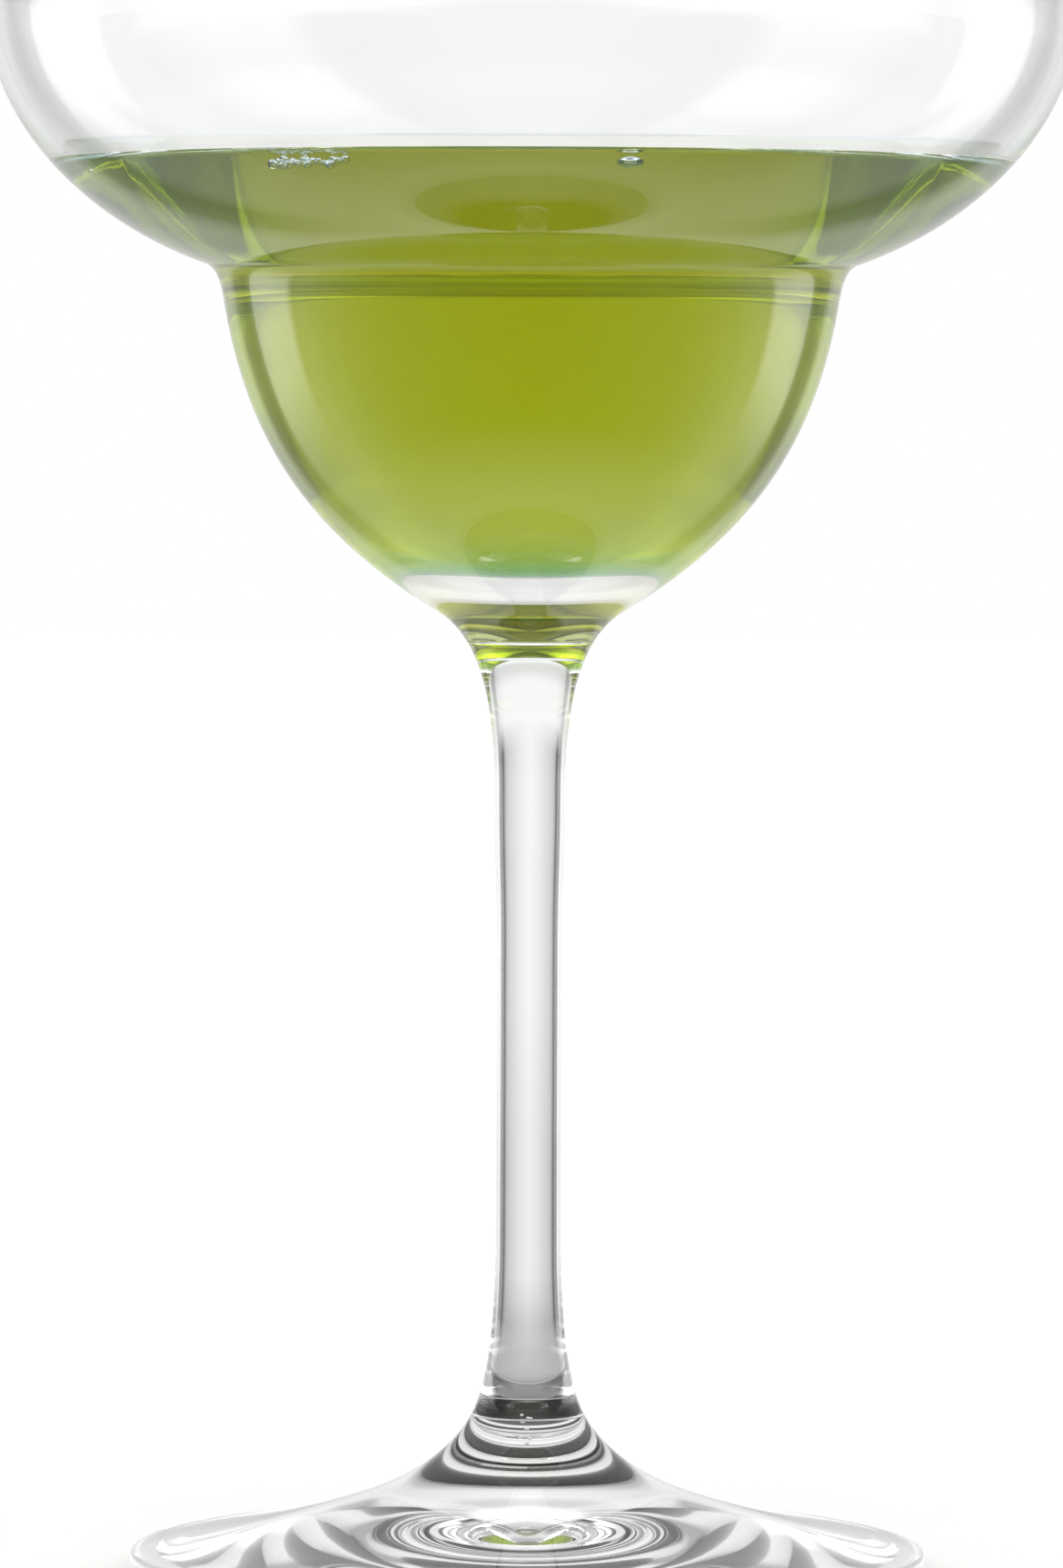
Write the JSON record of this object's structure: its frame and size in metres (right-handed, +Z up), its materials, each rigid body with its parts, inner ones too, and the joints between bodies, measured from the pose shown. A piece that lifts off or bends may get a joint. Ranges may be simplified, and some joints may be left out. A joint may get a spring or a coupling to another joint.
{
  "type": "margarita glass",
  "caption": "Clear stemmed cocktail glass whose wide round bowl steps in to a narrow rounded cup, on a slim stem and a flared foot, filled with a yellow-green drink.",
  "frame": {"origin": "middle of the foot's flat contact ring, on the table", "axes": "+Z up along the axis of the stem and bowl; the shape is the same all round, so +X and +Y are arbitrary"},
  "size_m": [0.1156, 0.1156, 0.174],
  "materials": {
    "glass": "clear, fire-polished and glossy, almost colourless",
    "drink": "clear yellow-green liquid with a still, glossy surface"
  },
  "bodies": {
    "root": {"bowl": "glass", "stem": "glass", "foot": "glass", "drink": "drink"}
  },
  "joints": []
}
